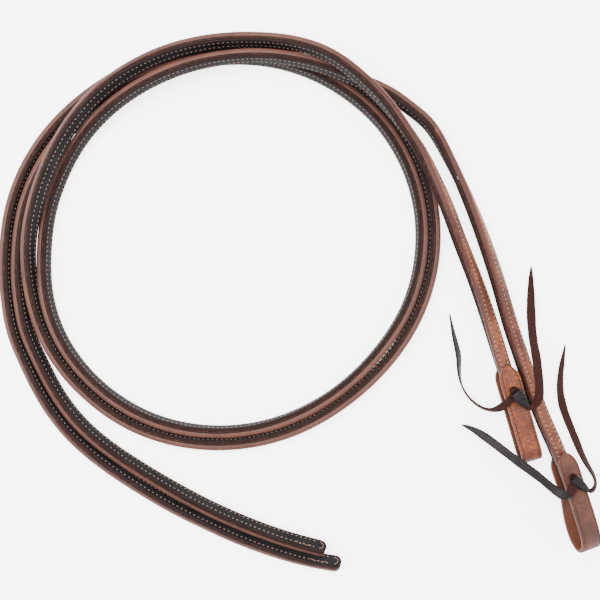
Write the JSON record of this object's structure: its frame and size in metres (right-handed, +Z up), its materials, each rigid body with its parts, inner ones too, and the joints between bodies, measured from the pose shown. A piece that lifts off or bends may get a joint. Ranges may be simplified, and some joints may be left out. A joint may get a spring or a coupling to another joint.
{
  "type": "leather split reins",
  "caption": "Coiled pair of doubled and stitched leather split reins with folded bit loops tied on by leather laces.",
  "frame": {"origin": "middle of the whole coil's box, on the surface that it lies on", "axes": "+Z up from that surface; +X from the coil toward the bit loops' side; +Y away from the tail ends"},
  "size_m": [0.5363, 0.4792, 0.0444],
  "materials": {
    "top_leather": "oiled grain, satin",
    "lining_leather": "matte black grain",
    "loop_leather": "oiled, creased, satin",
    "lace_leather": "soft, matte",
    "thread": "waxed twist, matte"
  },
  "bodies": {
    "reins": {"left_rein_top_strap": "top_leather", "left_rein_lining": "lining_leather", "left_rein_face_thread": "thread", "left_rein_back_thread": "thread", "right_rein_top_strap": "top_leather", "right_rein_lining": "lining_leather", "right_rein_face_thread": "thread", "right_rein_back_thread": "thread"},
    "left_loop": {"left_bit_loop": "loop_leather", "left_lace_knot": "lace_leather"},
    "right_loop": {"right_bit_loop": "loop_leather", "right_lace_knot": "lace_leather"},
    "left_loop_lace_left": {"left_lace_left_tail": "lace_leather"},
    "left_loop_lace_right": {"left_lace_right_tail": "lace_leather"},
    "right_loop_lace_left": {"right_lace_left_tail": "lace_leather"},
    "right_loop_lace_right": {"right_lace_right_tail": "lace_leather"}
  },
  "joints": [
    {"name": "left_loop_swivel", "type": "hinge", "parent": "reins", "child": "left_loop", "pos_m": [0.19117, -0.07702, 0.01002], "axis": [0.0649, 0.0246, 0.9976], "range_deg": [-4, 2]},
    {"name": "right_loop_swivel", "type": "hinge", "parent": "reins", "child": "right_loop", "pos_m": [0.24091, -0.15465, 0.01498], "axis": [0.2098, 0.1804, 0.961], "range_deg": [-4, 3]},
    {"name": "left_lace_left_swing", "type": "hinge", "parent": "left_loop", "child": "left_loop_lace_left", "pos_m": [0.1864, -0.0858, 0.0219], "axis": [0, 0, 1], "range_deg": [-8, 12]},
    {"name": "left_lace_right_swing", "type": "hinge", "parent": "left_loop", "child": "left_loop_lace_right", "pos_m": [0.2058, -0.0918, 0.0214], "axis": [0, 0, 1], "range_deg": [-15, 2]},
    {"name": "right_lace_left_swing", "type": "hinge", "parent": "right_loop", "child": "right_loop_lace_left", "pos_m": [0.2378, -0.1674, 0.0286], "axis": [0, 0, 1], "range_deg": [-2, 8]},
    {"name": "right_lace_right_swing", "type": "hinge", "parent": "right_loop", "child": "right_loop_lace_right", "pos_m": [0.2578, -0.1638, 0.026], "axis": [0, 0, 1], "range_deg": [-15, 3]}
  ]
}
